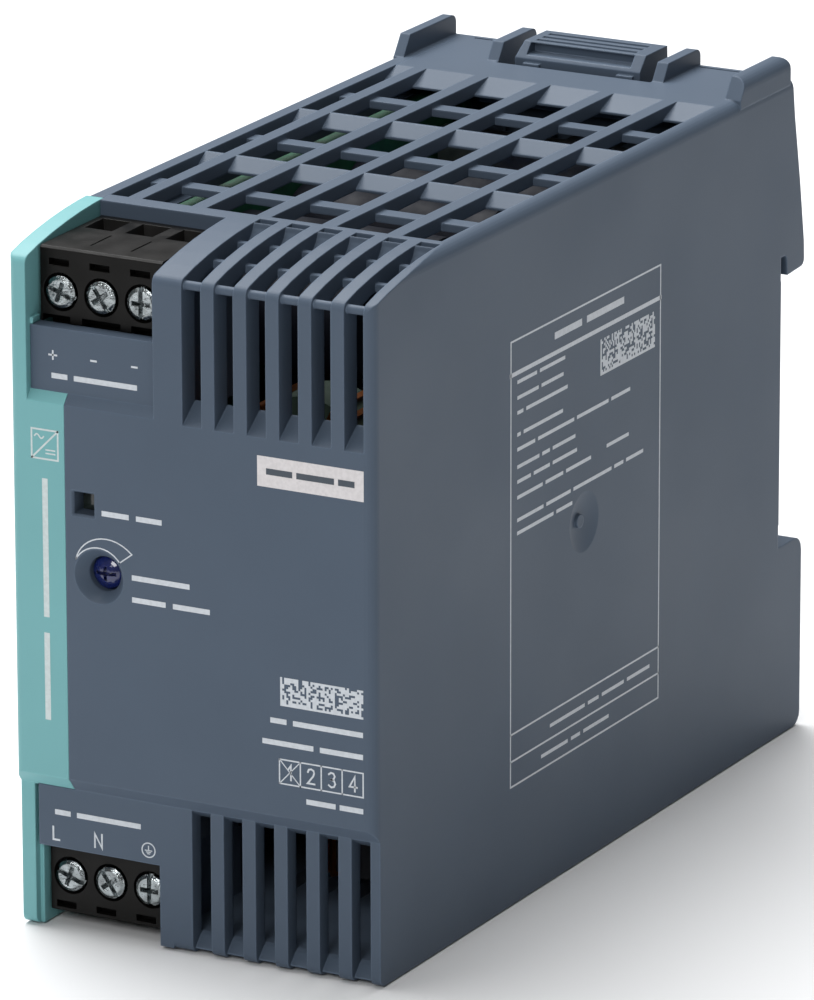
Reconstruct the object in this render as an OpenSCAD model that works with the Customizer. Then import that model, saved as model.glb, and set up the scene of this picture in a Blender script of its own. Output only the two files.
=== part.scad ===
// DIN rail power supply: a slim plastic casing with screw terminals at the top and bottom of its front,
// a ventilation grille, a rail seat at the back and a switched-mode converter inside.
// Every module is drawn from the casing's lower front left corner: X to the right, Y to the back, Z up.
// in_part_frame() then moves it so that the origin is on the rail seat, at mid width and mid rail.

/* [Casing] */
// Width of the casing
body_w = 45; // [44.5:0.5:46]
// Height of the flat top above the underside
body_h = 79.5; // [79:0.25:80.5]
// Depth from the front panel to the rail seat
seat_depth = 98.1; // [97.5:0.1:100]
// Thickness of the casing's walls
wall = 2; // [1.8:0.1:2.2]
// Thickness of the cover on the left side
cover_t = 2.2; // [2:0.1:2.4]
// Radius of the arc that brings the top down to the front panel
brow_r = 75; // [60:5:90]

/* [Front] */
// Setback of the lower front panel behind the upper one
step_y = 1.2; // [0.8:0.1:1.5]
// Height of the lower edge of the upper front panel
step_z = 18.1; // [17:0.1:19]
// Lower edge of the upper louvres and of the upper marking plate
louvre_z = 60.8; // [60:0.1:61.5]
// Distance between louvre slots
louvre_pitch = 3.97; // [3.9:0.01:4]
// Width of a louvre slot
louvre_w = 2.35; // [2:0.05:2.5]
// Width of the coloured strip on the front
strip_w = 6.8; // [6:0.1:7.5]

/* [Grille] */
// Distance between the columns of the top grille
column_pitch = 8.1; // [8:0.05:8.15]
// Width of a grille column's opening
column_w = 6.3; // [5.8:0.1:6.4]
// Distance between the groups of grille windows
row_pitch = 21.5; // [21:0.1:21.6]

/* [Terminals] */
// Distance between terminal poles
pole_pitch = 5.08; // [5:0.01:5.08]
// Travel of a clamp between open and closed
clamp_travel = 2.2; // [1.5:0.1:2.2]
// Radius of the round wire entry of a terminal
wire_r = 1.25; // [1.1:0.05:1.3]

/* [Rail] */
// Height of the rail shelf under the lower edge of the rail
shelf_z = 23.2; // [22.8:0.1:23.6]
// Height of the top-hat rail with its play
rail_h = 35.2; // [35.1:0.05:35.5]
// Travel of the lower rail catch
catch_travel = 3.2; // [3:0.1:3.4]

/* [Hidden] */
$fn = 48;

eps = 0.01;
rail_z = shelf_z + rail_h / 2;               // height of the rail's centre line
lip_z = shelf_z + rail_h - 2.5;              // lower end of the fixed upper lip
back_y = seat_depth + 6.1;                   // rearmost face, on the foot
deck_back_y = seat_depth + 2.6;              // rear edge of the top deck
inner_x = body_w - wall;                     // inner face of the right wall
top_z = body_h - wall;                       // underside of the top
brow_y = 20;                                 // where the flat top starts
louvre_x = 21.6;                             // left side of the first louvre slot
louvres = 6;
louvre_depth = 2.9;                          // front panel's thickness at the louvres
louvre_bars = [7, 12.3];                     // cross bars in the upper louvres, from the panel
slot_end_y = 17.3;                           // rear end of the upper louvres
sill_z = 0.45;                               // front edge of the lower louvres' sills
bay_x = 18;                                  // right side of the terminal bays
bay_back_y = 16.1;                           // rear end of the upper terminal bay
bay_z = 69.1;                                // floor of the upper terminal bay, on the marking plate
lower_bay_z = 9.5;                           // roof of the lower terminal bay
plate_y = 0.9;                               // setback of the upper marking plate
trim_end_y = 16.9;                           // rear end of the coloured edge wall
column_x = 6.2;                              // left side of the first grille column
columns = 5;
row_y = 18.3;                                // front end of the first grille window
bar_y = 27;                                  // front of the thin cross bar, from the panel
bar_back_y = 29.1;
ramp_y = 37.3;                               // foot of the ramped cross bar
ramp_back_y = 39.5;
rows = 3;
slide_x = 13.9;                              // left side of both slides
slide_w = 16.25;
slide_gap = 0.2;                             // play of a slide in its channel
slot_x = 11.9;                               // slide pocket in the deck
slot_w = 20;
slot_y = 90.1;
pocket_z = 76.4;                             // floor of that pocket
open_z = 71.5;                               // above this the slide's channel is open at the back
block_x = 2.5;                               // left side of both terminal blocks
poles = 3;
dc_face_y = 2.7;
dc_screw_z = 72.65;
ac_face_y = 3.1;
ac_screw_z = 5.7;
block_depth = 13.2;
screw_r = 1.45;                              // M3 thread, drawn at its mean size
head_r = 1.8;
led_x = 9.06;
led_z = 49.92;
led_side = 2.5;
trim_x = 10.95;
trim_z = 41.95;
trim_r = 3.1;
rotor_r = 1.85;
dish_depth = 1.4;
board_x = 4.4;                               // solder side of the circuit board
board_t = 1.6;
parts_x = board_x + board_t;                 // component side
catch_y = seat_depth + 1.25;                 // front face of the catch and of the slide's tip
catch_tip = catch_travel - 0.6;              // height of the catch's tip over the shelf
spring_l = 9.4;                              // length of the catch's spring at rest
peg_z = 7;                                   // underside of the peg that the spring stands on
peg_h = 1.5;

casing_grey = "#56626E";
trim_teal = "#6BA3A4";
block_black = "#262626";
zinc = "#C9CCCF";
copper = "#B8733A";

module in_part_frame() {
    translate([-body_w / 2, -seat_depth, -rail_z]) children();
}

// ---- outlines ---------------------------------------------------------------------------------

// points along an arc, from angle a0 to a1
function arc(cx, cy, r, a0, a1, n) =
    [for (i = [0:n]) let (a = a0 + (a1 - a0) * i / n) [cx + r * cos(a), cy + r * sin(a)]];

// height of the top at depth y: flat, with a large arc down to the front
function top_at(y) = y >= brow_y ? body_h
    : body_h - brow_r + sqrt(brow_r * brow_r - (brow_y - y) * (brow_y - y));

// draws a (Y, Z) outline and extrudes it to the right, from x over the width w
module along_x(x, w) {
    translate([x, 0, 0]) rotate([90, 0, 90]) linear_extrude(height = w) children();
}

// draws an (X, Z) outline and extrudes it to the back, from y over the depth d
module along_y(y, d) {
    translate([0, y + d, 0]) rotate([90, 0, 0]) linear_extrude(height = d) children();
}

// the casing seen from the side, without the ears on its top
module side_outline() {
    polygon(concat(
        arc(step_y + 1, 1, 1, 270, 180, 5),
        [[step_y, step_z - 1.5], [0, step_z]],
        arc(1.1, top_at(0) - 0.9, 1.1, 180, 98, 5),
        [for (y = [3:3:18]) [y, top_at(y)]],
        [[brow_y, body_h]],
        arc(deck_back_y - 0.7, body_h - 0.7, 0.7, 90, 10, 4),
        [[deck_back_y + 0.6, top_z - 3], [back_y - 1.4, lip_z + 10.7], [back_y - 0.2, lip_z + 3.2]],
        arc(back_y - 0.9, lip_z + 1, 0.8, 0, -80, 3),
        [[seat_depth + 1.6, lip_z]],
        arc(seat_depth + 0.75, shelf_z + rail_h - 0.75, 0.75, 0, 90, 4),
        [[seat_depth - 0.1, shelf_z + rail_h], [seat_depth - 0.1, lip_z - 0.4],
         [seat_depth, lip_z - 0.4], [seat_depth, shelf_z + catch_tip + 0.2],
         [seat_depth - 0.1, shelf_z + catch_tip + 0.2], [seat_depth - 0.1, shelf_z]],
        arc(back_y - 1.8, shelf_z - 1.8, 1.8, 90, 0, 4),
        arc(back_y - 1.5, 1.5, 1.5, 0, -90, 4)
    ));
}

// the room inside the casing seen from the side
module cavity_outline() {
    polygon(concat(
        [[step_y + wall, wall], [step_y + wall, step_z], [louvre_depth, step_z + 1.5],
         [louvre_depth, top_at(louvre_depth) - wall - 0.3]],
        [for (y = [6:4:18]) [y, top_at(y) - wall]],
        [[brow_y, top_z], [seat_depth - wall, top_z], [seat_depth - wall, wall]]
    ));
}

// an ear or rib that stands on the deck: steep front ramp, flat top and round rear end
module ear_outline(foot_y, end_y, height) {
    top = body_h + height;
    polygon(concat(
        [[foot_y, body_h - 1], [foot_y, body_h], [foot_y + height * 0.7, top]],
        arc(end_y - 1, top - 1, 1, 90, 0, 5),
        [[end_y, body_h - 1]]
    ));
}

// rounds the right-hand top edge, for a top at height h
module right_edge(h, r) {
    along_y(-1, back_y + 2) polygon(concat(
        [[-1, -1], [body_w, -1]], arc(body_w - r, h - r, r, 0, 90, 6), [[-1, h]]));
}

// rounds the right-hand front edge
module front_edge(r) {
    translate([0, 0, -1]) linear_extrude(height = body_h + 5) polygon(concat(
        [[-1, back_y + 1], [body_w, back_y + 1]], arc(body_w - r, r, r, 0, -90, 5), [[-1, 0]]));
}

// ---- casing -----------------------------------------------------------------------------------

// one louvre slot in the upper front: a deep slot with a sloped sill, open over the brow
module upper_louvre(x) {
    difference() {
        along_x(x, louvre_w) polygon([
            [-1, louvre_z - 1], [louvre_depth + 0.5, louvre_z + 2.3],
            [louvre_depth + 0.5, 74.2], [slot_end_y, 76.3], [slot_end_y, 82], [-1, 82]]);
        along_x(x - 1, louvre_w + 2) {
            // round bar at the front corner, two cross bars and a scooped rear end
            translate([0.95, 76.05]) circle(r = 0.5, $fn = 16);
            for (y = louvre_bars) translate([y, top_at(y) - 2.1]) square([0.8, 1]);
            polygon(concat(arc(13, 79.9, 2.9, 275, 350, 6),
                [[slot_end_y - 1.1, 79.2], [slot_end_y - 1, 78.5], [slot_end_y + 1, 78.5], [slot_end_y + 1, 75.6],
                 [louvre_bars[1] + 0.5, 75.4], [louvre_bars[1] + 0.5, 76.9]]));
        }
    }
}

// one slot in the lower front, with its own sloped sill
module lower_louvre(x) {
    along_x(x, louvre_w) polygon([
        [0, sill_z], [step_y + 0.5, sill_z], [step_y + 1.75, sill_z + 1.25], [step_y + wall + 0.5, wall + 0.1],
        [step_y + wall + 0.5, 15], [step_y, step_z - 1.55], [0, step_z - 1.55]]);
    // shallow notch that scallops the lower edge
    translate([x, 0, -1]) cube([louvre_w, step_y + 1.9, sill_z + 1]);
}

// windows of one grille column; the bars between them stay
module grille_column(x, w) {
    for (k = [0:rows - 1]) {
        y0 = row_y + row_pitch * k - (k > 0 ? row_y - (ramp_back_y - row_pitch) : 0);
        dy = row_pitch * k;
        translate([x, y0, top_z - 1]) cube([w, bar_y + dy - y0, wall + 2]);
        // the thin bar lies a little lower than the ribs
        translate([x, bar_y + dy - 0.05, body_h - 0.7]) cube([w, bar_back_y - bar_y + 0.1, 2]);
        translate([x, bar_back_y + dy, top_z - 1]) cube([w, ramp_y - bar_back_y, wall + 2]);
        // ramped bar; the last ramp runs out into the deck
        ramp_l = k == rows - 1 ? 3.4 : 1.9;
        along_x(x, w) polygon([
            [ramp_y + dy - 0.05, body_h - 1.35], [ramp_y + dy + ramp_l, body_h], [ramp_y + dy + ramp_l, body_h + 1],
            [ramp_y + dy - 0.05, body_h + 1]]);
    }
}

module top_grille() {
    for (i = [0:columns - 1]) {
        x = column_x + column_pitch * i;
        grille_column(x, min(column_w, body_w - 1.6 - x));
    }
    grille_column(cover_t, 2.3);
    // the grille is thinner than the rest of the top
    translate([cover_t + 1, row_y - 0.5, top_z - 1]) cube([inner_x - cover_t - 1, 66, 1.4]);
}

module underside_vents() {
    for (i = [0:louvres - 1], k = [0:2])
        translate([louvre_x + louvre_pitch * i, 20 + 23 * k, -1]) cube([louvre_w, 17, wall + 2]);
}

module main_housing() color(casing_grey) in_part_frame() {
    difference() {
        union() {
            difference() {
                intersection() {
                    along_x(cover_t, body_w - cover_t) side_outline();
                    right_edge(body_h, 1.5);
                    front_edge(1.2);
                }
                along_x(cover_t - 1, inner_x - cover_t + 1) cavity_outline();
                // hollow sides of the rear hook and of the foot
                for (x = [[cover_t - 1, slot_x - cover_t - 1], [slot_x + slot_w + 1.6, inner_x - slot_x - slot_w - 1.6]]) {
                    translate([x[0], seat_depth - wall - 1, lip_z + 5]) cube([x[1], 4, top_z - lip_z - 5]);
                    translate([x[0], seat_depth - wall - 1, wall]) cube([x[1], 7, shelf_z - wall * 2]);
                }
            }
            // right ear and the two ribs beside the mounting slide
            intersection() {
                along_x(body_w - wall, wall) ear_outline(87.1, seat_depth + 1.95, 2.4);
                right_edge(body_h + 2.4, 1.5);
            }
            for (x = [slot_x - 1.4, slot_x + slot_w])
                along_x(x, 1.4) ear_outline(90.6, seat_depth + 2.1, 2);
            // floor and sides of the slide's pocket
            translate([slot_x - 1.4, slot_y - 1.5, pocket_z - 1.4]) cube([slot_w + 2.8, seat_depth - slot_y, 4.4]);
            // cheek between the upper terminal bay and the louvres
            intersection() {
                translate([bay_x, 0, louvre_z - 1]) cube([1.4, bay_back_y + 1, 20]);
                along_x(bay_x, 1.4) side_outline();
            }
            // roof of the lower terminal bay and its cheek
            translate([cover_t, step_y, lower_bay_z]) cube([bay_x + 1.2 - cover_t, 14.5, 1.4]);
            translate([17.5, step_y, 0.2]) cube([1.7, 15, lower_bay_z]);
            // frame bar behind the upper terminal bay
            translate([cover_t, bay_back_y, 75.5]) cube([bay_x - cover_t + 1.4, 1.4, 3]);
        }
        // upper terminal bay, open at the front and the top
        translate([cover_t - 1, -1, bay_z]) cube([bay_x - cover_t + 1, bay_back_y + 1, 20]);
        // setback of the upper marking plate, with a sloped sill
        along_x(cover_t - 1, bay_x - cover_t + 1) polygon([
            [-1, louvre_z], [0, louvre_z], [plate_y, louvre_z + 1.1], [plate_y, bay_z + 1], [-1, bay_z + 1]]);
        // lower terminal bay, open at the front and the underside
        translate([cover_t - 1, -1, -1]) cube([17.5 - cover_t + 1, ac_face_y + block_depth + 1.3, lower_bay_z + 1]);
        translate([cover_t, ac_face_y - 0.2, -1]) cube([17.9 - cover_t, block_depth + 0.5, lower_bay_z + 1]);
        // ways through that bay's roof for the solder pins
        for (i = [0:poles - 1]) translate([pole_x(i) - 0.8, ac_face_y + bar_local_y - 0.1, lower_bay_z - 0.5])
            cube([1.6, 0.8, 3]);
        // seat of the coloured strip
        translate([cover_t - 1, -1, step_z - 1.55]) cube([strip_w + 0.05 - cover_t + 1, 2.6, louvre_z - step_z + 2.65]);
        for (i = [0:louvres - 1]) {
            upper_louvre(louvre_x + louvre_pitch * i);
            lower_louvre(louvre_x + louvre_pitch * i);
        }
        top_grille();
        underside_vents();
        // status window with bevelled sides
        translate([led_x, 0, led_z]) rotate([-90, 45, 0]) {
            cylinder(r = led_side / sqrt(2), h = 5, $fn = 4);
            translate([0, 0, -eps]) cylinder(r1 = (led_side + 0.5) / sqrt(2), r2 = led_side / sqrt(2), h = 0.3, $fn = 4);
        }
        // dished access hole of the trimmer
        translate([trim_x, -eps, trim_z]) rotate([-90, 0, 0]) {
            cylinder(r1 = trim_r, r2 = rotor_r + 0.15, h = dish_depth);
            cylinder(r = rotor_r + 0.15, h = 5);
        }
        // pocket and channel of the mounting slide
        translate([slot_x, slot_y, pocket_z]) cube([slot_w, seat_depth + 0.65 - slot_y, 8]);
        translate([slide_x - slide_gap, seat_depth + 0.6, lip_z - 3])
            cube([slide_w + 2 * slide_gap, 2.2, 30]);
        translate([slot_x, seat_depth + 0.6, pocket_z]) cube([slot_w, 6, 8]);
        translate([slide_x - slide_gap, seat_depth + 0.6, open_z]) cube([slide_w + 2 * slide_gap, 6, 12]);
        // channel of the rail catch, and the finger notch at its lower end
        difference() {
            translate([slide_x - slide_gap, catch_y - 0.15, -1]) cube([slide_w + 2 * slide_gap, 2.4, shelf_z + 2]);
            translate([body_w / 2 - 1.3, catch_y - 1, peg_z]) cube([2.6, 4, peg_h]);
        }
        translate([17, catch_y + 1, -1]) cube([10, 10, 6.5]);
        // shallow grooves along the deck's rear edge
        translate([slot_x + slot_w + 1.5, seat_depth + 0.9, body_h - 0.4]) cube([6, 0.5, 2]);
        translate([4.2, seat_depth + 0.9, body_h - 0.4]) cube([2.4, 0.5, 2]);
        // dished mark on the right side
        translate([body_w + 9.9, 48.7, rail_z - 0.9]) sphere(r = 10.5, $fn = 96);
    }
    // nub in the dish
    translate([body_w - 1, 48.1, rail_z - 0.7]) rotate([0, 90, 0]) cylinder(r = 0.8, h = 0.85, $fn = 24);
    // guide rails for the circuit board on the floor
    for (x = [board_x - 1.1, parts_x + 0.1]) translate([x, 24, wall - eps]) cube([1, 55, 1.6]);
}

module left_cover() color(casing_grey) in_part_frame() {
    difference() {
        union() {
            intersection() {
                along_x(0, cover_t) side_outline();
                translate([-1, trim_end_y + 0.1, -1]) cube([cover_t + 2, back_y, body_h + 5]);
            }
            along_x(0, 1.3) ear_outline(87.1, seat_depth + 1.95, 2.4);
        }
        // rounded outer top edge
        difference() {
            translate([-1, 0, body_h - 0.8]) cube([1.8, 87, 2]);
            along_y(0, 87) translate([0.8, body_h - 0.8]) circle(r = 0.8, $fn = 32);
        }
    }
    // snap tabs that reach into the housing
    for (y = [30, 80], z = [[wall + 0.1, 1], [top_z - 3.2, 1]])
        translate([cover_t - eps, y, z[0]]) cube([0.95, 7, 1.2]);
}

// coloured trim: edge wall on the left with a strip on the front panel
module front_strip() color(trim_teal) in_part_frame() {
    intersection() {
        union() {
            difference() {
                along_x(0, cover_t - 0.05) side_outline();
                translate([-1, trim_end_y, -1]) cube([cover_t + 2, back_y, body_h + 5]);
                // thinner wall beside the lower terminals
                translate([1.7, -1, -1]) cube([2, step_y + 2, step_z - 0.6]);
            }
            along_x(0, strip_w) polygon([
                [0, step_z], [0, louvre_z], [plate_y, louvre_z + 1.1], [1.5, louvre_z + 1.1],
                [1.5, step_z - 1.5], [step_y, step_z - 1.5]]);
            // small tab beside the upper terminals
            translate([cover_t - 0.2, plate_y + 0.1, bay_z + 0.05]) cube([0.45, 1.6, 0.7]);
        }
        // rounded outer front edge
        translate([0, 0, -1]) linear_extrude(height = body_h + 5) polygon(concat(
            [[20, 0], [20, 20], [0, 20]], arc(0.9, 0.9, 0.9, 180, 270, 5)));
    }
}

// ---- terminals --------------------------------------------------------------------------------
// One pole is drawn for a block whose wires enter from above (up = 1) or from below (up = -1).
// Local Y starts at the block's front face and local Z at the screw's axis.

nut_y = 6.6;                                 // front of the clamp when it is open
nut_t = 1.4;
clamp_l = 5.6;
clamp_w = 3.9;
chamber_w = 4.3;
clamp_hz = 2.3;                              // half the clamp's height
bar_local_y = 8.2;                           // contact bar inside the clamp
bar_t = 0.6;
wire_y = 10.15;                              // where the wire enters

function pole_x(i) = block_x + pole_pitch * (i + 0.5);

// square funnel that widens from x0 by y0 to x1 by y1 over the height h
module funnel(x0, y0, x1, y1, h) {
    polyhedron(
        points = [for (e = [[x0, y0, 0], [x1, y1, h]], c = [[-1, -1], [1, -1], [1, 1], [-1, 1]])
            [c[0] * e[0] / 2, c[1] * e[1] / 2, e[2]]],
        faces = concat([[0, 1, 2, 3], [7, 6, 5, 4]], [for (i = [0:3]) [i, i + 4, (i + 1) % 4 + 4, (i + 1) % 4]]));
}

module terminal_block(up, mouth, tail) {
    difference() {
        // mouth and tail are the distances from the screw axis to the wire end and to the other end
        along_x(block_x, pole_pitch * poles) polygon(up > 0
            ? [[0, -tail], [0, mouth + 0.15], [0.3, mouth + 0.4], [block_depth, mouth + 0.55], [block_depth, -tail - 4],
               [2.5, -tail - 4], [2.5, -tail]]
            : [[0, tail], [0, -mouth], [block_depth, -mouth], [block_depth, tail]]);
        for (i = [0:poles - 1]) translate([pole_x(i), 0, 0]) {
            // screw well, shank bore and clamp chamber
            translate([0, -eps, 0]) rotate([-90, 0, 0]) cylinder(r = head_r + 0.35, h = 1.7);
            rotate([-90, 0, 0]) cylinder(r = screw_r + 0.2, h = 6);
            translate([-chamber_w / 2, nut_y - clamp_travel - 0.3, -clamp_hz - 0.3])
                cube([chamber_w, clamp_l + clamp_travel + 0.6, clamp_hz * 2 + 0.6]);
            // wire funnel and round wire entry
            translate([0, wire_y, 0]) mirror([0, 0, up > 0 ? 0 : 1]) {
                cylinder(r = wire_r, h = mouth + 1);
                translate([0, 0, mouth - 0.7]) funnel(2.5, 2.7, 3.56, 4.2, 1.31);
            }
            // small test slot on the front
            translate([up > 0 ? -1.45 : -1.85, -1, up > 0 ? 2.9 : -3.88]) cube([2.5, 2.2, 0.76]);
            // way out for the contact's solder pin
            translate([-0.8, bar_local_y - 0.1, up > 0 ? -tail - 5 : 2]) cube([1.6, 0.8, tail + 6]);
        }
        // gaps under the front of the upper block
        if (up > 0) for (g = [[0.25, 3.4], [5.15, 4.8], [11.3, 3.6]])
            translate([block_x + g[0], -1, -tail - 1]) cube([g[1], 2.4, 1.8]);
        // score lines between the poles on the wire side
        for (i = [1:poles - 1]) translate([block_x + pole_pitch * i - 0.1, 2.2, up > 0 ? mouth + 0.02 : -mouth - 1])
            cube([0.2, 4.4, up > 0 ? 1 : 1.2]);
    }
}

// screw with a pan head and a combined slot and cross recess
module terminal_screw(i) {
    translate([pole_x(i), 0, 0]) difference() {
        union() {
            translate([0, -0.05, 0]) rotate([-90, 0, 0]) cylinder(r = head_r, h = 1.35);
            translate([0, -0.35, 0]) rotate([-90, 0, 0]) cylinder(r1 = head_r - 0.4, r2 = head_r, h = 0.31);
            translate([0, 1.2, 0]) rotate([-90, 0, 0]) cylinder(r = screw_r, h = 6.8);
        }
        rotate([0, 20 + 35 * i, 0]) {
            translate([-2.2, -0.5, -0.26]) cube([4.4, 0.85, 0.52]);
            translate([-1.15, -0.5, -0.26]) cube([2.3, 1.3, 0.52]);
            translate([-0.26, -0.5, -1.15]) cube([0.52, 1.3, 2.3]);
        }
    }
}

// clamp cage: a square ring with a threaded front wall
module terminal_clamp(i) {
    translate([pole_x(i), nut_y, 0]) difference() {
        translate([-clamp_w / 2, 0, -clamp_hz]) cube([clamp_w, clamp_l, clamp_hz * 2]);
        translate([-clamp_w / 2 + 0.5, nut_t, -clamp_hz - 1]) cube([clamp_w - 1, clamp_l - nut_t - 0.7, clamp_hz * 2 + 2]);
        translate([0, -1, 0]) rotate([-90, 0, 0]) cylinder(r = screw_r + 0.05, h = nut_t + 2);
    }
}

// three contact bars, each bent into a solder pin at the side away from the wire
module contact_bars(up, tail, pin_l) {
    for (i = [0:poles - 1]) translate([pole_x(i), bar_local_y, 0]) {
        translate([-1.25, 0, -2.5]) cube([2.5, bar_t, 5]);
        translate([-0.5, 0, up > 0 ? -tail - pin_l : 0]) cube([1, bar_t, tail + pin_l]);
    }
}

dc_mouth = 4.55;
dc_tail = 3.5;
ac_mouth = 4.25;
ac_tail = 3.7;

module at_dc() { translate([0, dc_face_y, dc_screw_z]) children(); }
module at_ac() { translate([0, ac_face_y, ac_screw_z]) children(); }

module dc_terminal_block() color(block_black) in_part_frame() at_dc() terminal_block(1, dc_mouth, dc_tail);
module ac_terminal_block() color(block_black) in_part_frame() at_ac() terminal_block(-1, ac_mouth, ac_tail);
module dc_contacts() color(zinc) in_part_frame() at_dc() contact_bars(1, dc_tail, 6);
module ac_contacts() color(zinc) in_part_frame() at_ac() contact_bars(-1, ac_tail, 2.5);
module dc_screw(i) color(zinc) in_part_frame() at_dc() terminal_screw(i);
module ac_screw(i) color(zinc) in_part_frame() at_ac() terminal_screw(i);
module dc_clamp(i) color(zinc) in_part_frame() at_dc() terminal_clamp(i);
module ac_clamp(i) color(zinc) in_part_frame() at_ac() terminal_clamp(i);

// ---- slides on the rail side ------------------------------------------------------------------

// upper slide: ribbed head between the deck's ribs, with a plate that ends as part of the upper lip
module mounting_slide() color(casing_grey) in_part_frame() {
    head_z = body_h + 2.4;
    difference() {
        union() {
            intersection() {
                along_y(0, back_y) polygon([[slide_x, 0], [slide_x, body_h + 0.5], [slide_x + 0.5, head_z + 0.1],
                    [slide_x + slide_w, head_z + 0.1], [slide_x + slide_w, 0]]);
                along_x(slide_x, slide_w) polygon([
                [slot_y + 0.8, pocket_z + 0.3], [slot_y + 0.8, 80.2], [slot_y + 2.4, head_z],
                [seat_depth - 0.2, head_z], [seat_depth - 0.1, body_h - 0.2], [seat_depth + 2.6, body_h - 0.3],
                [seat_depth + 2.6, lip_z + 0.2], [seat_depth + 1.25, lip_z + 0.2],
                [seat_depth + 1.25, lip_z + 3.4], [seat_depth + 0.8, lip_z + 4],
                [seat_depth + 0.8, body_h - 2.6], [seat_depth + 0.3, pocket_z + 0.3]]);
            }
            for (x = [slide_x + 1.3, slide_x + 13.4])
                translate([x, slot_y + 0.25, 79.1]) cube([2.1, 0.6, 0.65]);
        }
        // recess for a screwdriver in the sloping front
        translate([slide_x + 1.35, slot_y - 1, 80.55]) cube([13.5, 4.3, 1.2]);
        // grooves that leave three ridges on the head
        for (k = [0:2]) translate([slide_x + 1.6, slot_y + 3 + 1.5 * k, head_z - 0.3]) cube([13, 0.75, 1]);
        // fixing hole, free when the slide is pulled up
        translate([slide_x + slide_w / 2, seat_depth, body_h - 5.2]) rotate([-90, 0, 0]) cylinder(r = 1.7, h = 5);
    }
}

// lower catch: a plate with a chamfered tip behind the rail and a window that holds its spring
module rail_catch() color(casing_grey) in_part_frame() {
    difference() {
        along_x(slide_x, slide_w) polygon([
            [catch_y, 0.4], [catch_y, shelf_z + catch_tip], [catch_y + 0.5, shelf_z + catch_tip],
            [catch_y + 2.1, shelf_z + 0.6], [catch_y + 2.1, 0.4]]);
        translate([body_w / 2 - 1.5, catch_y - 1, peg_z - 0.2]) cube([3, 4, peg_h + spring_l + 0.3]);
        translate([body_w / 2 - 3, catch_y - 1, 1.8]) cube([6, 4, 1.8]);
    }
}

// one turn of the coil is a ring of sections; r is the coil's mean radius, t the wire's radius
function coil_point(s, r, pitch, turns, t, a) =
    let (q = 360 * turns * s)
    [(r + t * cos(a)) * cos(q), (r + t * cos(a)) * sin(q), pitch * turns * s + t * sin(a)];

module coil(r, t, turns, pitch, sides, steps) {
    rings = turns * steps;
    polyhedron(
        points = [for (i = [0:rings], j = [0:sides - 1]) coil_point(i / rings, r, pitch, turns, t, 360 * j / sides)],
        faces = concat(
            [for (i = [0:rings - 1], j = [0:sides - 1])
                [i * sides + j, i * sides + (j + 1) % sides, (i + 1) * sides + (j + 1) % sides, (i + 1) * sides + j]],
            [[for (j = [sides - 1:-1:0]) j], [for (j = [0:sides - 1]) rings * sides + j]]));
}

module catch_spring() color(zinc) in_part_frame()
    translate([body_w / 2, catch_y + 1.05, peg_z + peg_h + 0.25]) coil(0.72, 0.2, 6, spring_l / 6 - 0.07, 6, 12);

// ---- electronics ------------------------------------------------------------------------------

module can(x, y, z, r, l) {
    translate([x, y, z]) rotate([0, 90, 0]) cylinder(r = r, h = l);
}

module circuit_board() color("#1E6B45") in_part_frame() difference() {
    along_x(board_x, board_t) polygon([
        [7.5, 12.5], [7.5, 58], [17.8, 58], [17.8, 76], [95, 76], [95, 3.7], [17.8, 3.7], [17.8, 12.5]]);
    for (y = [21, 92], z = [8, 72]) can(board_x - 1, y, z, 1.6, 4);
}

module insulating_sheet() color("#D9D4C4") in_part_frame()
    translate([3.2, 19, 6]) cube([0.4, 75, 68]);

module status_led() color("#D8E6D4") in_part_frame()
    translate([parts_x, 9.5, led_z - 1.1]) cube([4, 2.2, 2.2]);

module light_pipe() color("#C9D8CC") in_part_frame()
    translate([led_x - 1.15, 2.1, led_z - 1.15]) cube([2.3, 7.2, 2.3]);

module trimmer_body() color("#2A5E9E") in_part_frame() translate([parts_x, 3.2, trim_z - 3.4]) {
    difference() {
        cube([10, 4.6, 6.8]);
        translate([trim_x - parts_x, -1, 3.4]) rotate([-90, 0, 0]) cylinder(r = 1.05, h = 4);
    }
    translate([0, 4.5, 1.5]) cube([1.5, 3.2, 3.8]);
}

module trimmer_rotor() color("#3C7FC4") in_part_frame() translate([trim_x, 0, trim_z]) difference() {
    rotate([-90, 0, 0]) {
        // domed head and the shaft that turns in the trimmer's body
        rotate_extrude() polygon(concat([[0, 3]], [[rotor_r, 3]], arc(0, 4.05, 2.75, -47.7, -90, 6)));
        translate([0, 0, 2.9]) cylinder(r = 1, h = 2.8);
    }
    translate([-1.25, 0, -0.2]) cube([2.5, 2, 0.4]);
    translate([-0.2, 0, -0.8]) cube([0.4, 2, 1.6]);
}

module toroid(r_in, r_out, w) {
    rotate_extrude() translate([r_in, -w / 2]) square([r_out - r_in, w]);
}

// winding on a toroid: each turn is a rectangular loop of wire that stands a hair off the ring
module toroid_winding(r_in, r_out, w, wire, a0, a1, turns) {
    for (i = [0:turns - 1]) rotate([0, 0, a0 + (a1 - a0) * i / (turns - 1)])
        translate([(r_in + r_out) / 2, 0, 0]) rotate([90, 0, 0]) linear_extrude(height = wire, center = true)
            difference() {
                square([r_out - r_in + 0.1 + 2 * wire, w + 0.1 + 2 * wire], center = true);
                square([r_out - r_in + 0.1, w + 0.1], center = true);
            }
}

choke_x = 32;
choke_y = 12;
choke_z = 55;

module at_output_choke() {
    translate([choke_x, choke_y, choke_z]) rotate([90, 0, 0]) children();
}

module output_choke_core() color("#3A4A3E") in_part_frame() at_output_choke() toroid(4, 8, 7);

module output_choke_windings() color(copper) in_part_frame() at_output_choke() {
    for (side = [0, 180]) toroid_winding(4, 8, 7, 0.6, side - 62, side + 62, 11);
}

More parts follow.
